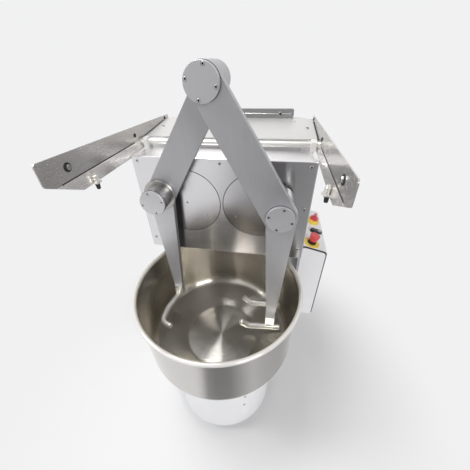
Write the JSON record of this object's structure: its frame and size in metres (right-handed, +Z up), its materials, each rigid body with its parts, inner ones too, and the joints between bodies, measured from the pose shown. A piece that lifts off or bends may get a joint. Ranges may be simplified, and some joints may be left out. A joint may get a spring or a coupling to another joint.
{
  "type": "twin-arm dough mixer",
  "caption": "Floor-standing dough mixer: a turning stainless bowl under a head whose counter-rotating crank discs swing a pair of arms joined at a top pivot, with a tilting guard.",
  "frame": {"origin": "On the floor, on the axis the bowl turns about", "axes": "+Z up, +X to the machine's right as seen from the front, +Y to the back"},
  "size_m": [0.712, 0.929, 1.4389],
  "materials": {
    "body_paint": "gloss white powder coat",
    "plinth_paint": "light grey paint",
    "cover_steel": "brushed stainless sheet",
    "arm_steel": "satin stainless",
    "tool_steel": "polished stainless rod",
    "screw_steel": "plain screw heads",
    "bowl_steel": "spun and brushed stainless",
    "casting": "painted casting",
    "machined_steel": "turned steel",
    "motor_paint": "grey-blue motor paint",
    "black_rubber": "matt rubber",
    "white_nylon": "turned nylon",
    "shaft_chrome": "polished bar",
    "guard_steel": "polished stainless sheet",
    "panel_steel": "satin stainless sheet",
    "strip_grey": "dark grey profile",
    "red_plastic": "moulded",
    "yellow_plastic": "moulded",
    "black_plastic": "moulded",
    "start_plastic": "moulded",
    "stop_plastic": "moulded"
  },
  "bodies": {
    "machine": {"base_plinth": "plinth_paint", "base_housing": "body_paint", "column_housing": "body_paint", "head_casing": "body_paint", "rear_cover": "body_paint", "front_cover": "cover_steel", "gearbox_housing": "casting", "gearbox_cover": "casting", "crank_bearings": "machined_steel", "arm_gearmotor": "motor_paint", "bowl_bearing_housing": "casting", "bowl_bearings": "machined_steel", "bowl_motor": "motor_paint", "bowl_belt": "black_rubber", "hinge_blocks": "white_nylon", "control_cabinet": "body_paint", "cabinet_door": "body_paint", "door_gasket": "black_rubber", "estop_disc": "yellow_plastic", "estop_collar": "black_plastic", "switch_plate": "yellow_plastic", "button_bezel": "black_plastic"},
    "bowl": {"bowl_shell": "bowl_steel", "bowl_spindle": "machined_steel", "bowl_pulley": "casting"},
    "bowl_drive": {"motor_pulley": "machined_steel"},
    "right_crank": {"right_crank_disc": "cover_steel", "right_crank_shaft": "machined_steel", "right_crank_gear": "machined_steel", "right_crank_pin": "machined_steel"},
    "left_crank": {"left_crank_disc": "cover_steel", "left_crank_shaft": "machined_steel", "left_crank_gear": "machined_steel", "left_crank_pin": "machined_steel"},
    "arm_drive": {"drive_pinion": "machined_steel"},
    "right_arm": {"right_arm_plate": "arm_steel", "right_elbow_hub": "arm_steel", "right_elbow_bearings": "machined_steel", "right_elbow_cap": "arm_steel", "top_axle": "arm_steel", "top_cap": "arm_steel", "right_cap_screws": "screw_steel", "right_fork": "tool_steel"},
    "left_arm": {"left_arm_plate": "arm_steel", "left_elbow_hub": "arm_steel", "left_elbow_bearings": "machined_steel", "left_elbow_cap": "arm_steel", "top_rear_cap": "arm_steel", "left_cap_screws": "screw_steel", "left_hook": "tool_steel"},
    "guard": {"guard_shaft": "shaft_chrome", "guard_right_arm": "guard_steel", "guard_left_arm": "guard_steel", "guard_panel": "panel_steel", "guard_strip": "strip_grey", "guard_bumpers": "black_rubber"},
    "emergency_stop": {"estop_button": "red_plastic"},
    "main_switch": {"main_switch_knob": "red_plastic"},
    "start": {"start_button": "start_plastic"},
    "stop": {"stop_button": "stop_plastic"}
  },
  "joints": [
    {"name": "bowl_spin", "type": "hinge", "parent": "machine", "child": "bowl", "pos_m": [0, 0, 0.432], "axis": [0, 0, 1], "continuous": true},
    {"name": "bowl_drive_spin", "type": "hinge", "parent": "machine", "child": "bowl_drive", "pos_m": [0, 0.42, 0.215], "axis": [0, 0, 1], "continuous": true},
    {"name": "right_crank_turn", "type": "hinge", "parent": "machine", "child": "right_crank", "pos_m": [0.125, 0.125, 1.023], "axis": [0, -1, 0], "range_deg": [0, 45]},
    {"name": "left_crank_turn", "type": "hinge", "parent": "machine", "child": "left_crank", "pos_m": [-0.125, 0.125, 1.023], "axis": [0, -1, 0], "range_deg": [-45, 0]},
    {"name": "right_arm_swing", "type": "hinge", "parent": "right_crank", "child": "right_arm", "pos_m": [0.19963, 0.06, 1.06963], "axis": [0, -1, 0], "range_deg": [-54.5, 0]},
    {"name": "left_arm_swing", "type": "hinge", "parent": "left_crank", "child": "left_arm", "pos_m": [-0.19664, 0.06, 1.0741], "axis": [0, -1, 0], "range_deg": [0, 54.5]},
    {"name": "arm_drive_spin", "type": "hinge", "parent": "machine", "child": "arm_drive", "pos_m": [0.21475, 0.235, 0.88157], "axis": [0, -1, 0], "range_deg": [-133, 0]},
    {"name": "guard_tilt", "type": "hinge", "parent": "machine", "child": "guard", "pos_m": [0, 0.237, 1.202], "axis": [1, 0, 0], "range_deg": [0, 58]},
    {"name": "emergency_stop_push", "type": "slide", "parent": "machine", "child": "emergency_stop", "axis": [0.2402, 0, 0.9707], "range_m": [-0.005, 0], "stiffness_N_per_m": 1500},
    {"name": "main_switch_turn", "type": "hinge", "parent": "machine", "child": "main_switch", "pos_m": [0.36301, 0.378, 0.8219], "axis": [0.2402, 0, 0.9707], "range_deg": [0, 90]},
    {"name": "start_push", "type": "slide", "parent": "machine", "child": "start", "axis": [0.2402, 0, 0.9707], "range_m": [-0.003, 0], "stiffness_N_per_m": 800},
    {"name": "stop_push", "type": "slide", "parent": "machine", "child": "stop", "axis": [0.2402, 0, 0.9707], "range_m": [-0.003, 0], "stiffness_N_per_m": 800}
  ],
  "couplings": [
    {"joint": "left_crank_turn", "follows": "right_crank_turn", "ratio": -1},
    {"joint": "right_arm_swing", "follows": "right_crank_turn", "ratio": -1.1942},
    {"joint": "left_arm_swing", "follows": "right_crank_turn", "ratio": 1.2075},
    {"joint": "arm_drive_spin", "follows": "right_crank_turn", "ratio": -2.9412},
    {"joint": "bowl_drive_spin", "follows": "bowl_spin", "ratio": 3.7692}
  ]
}
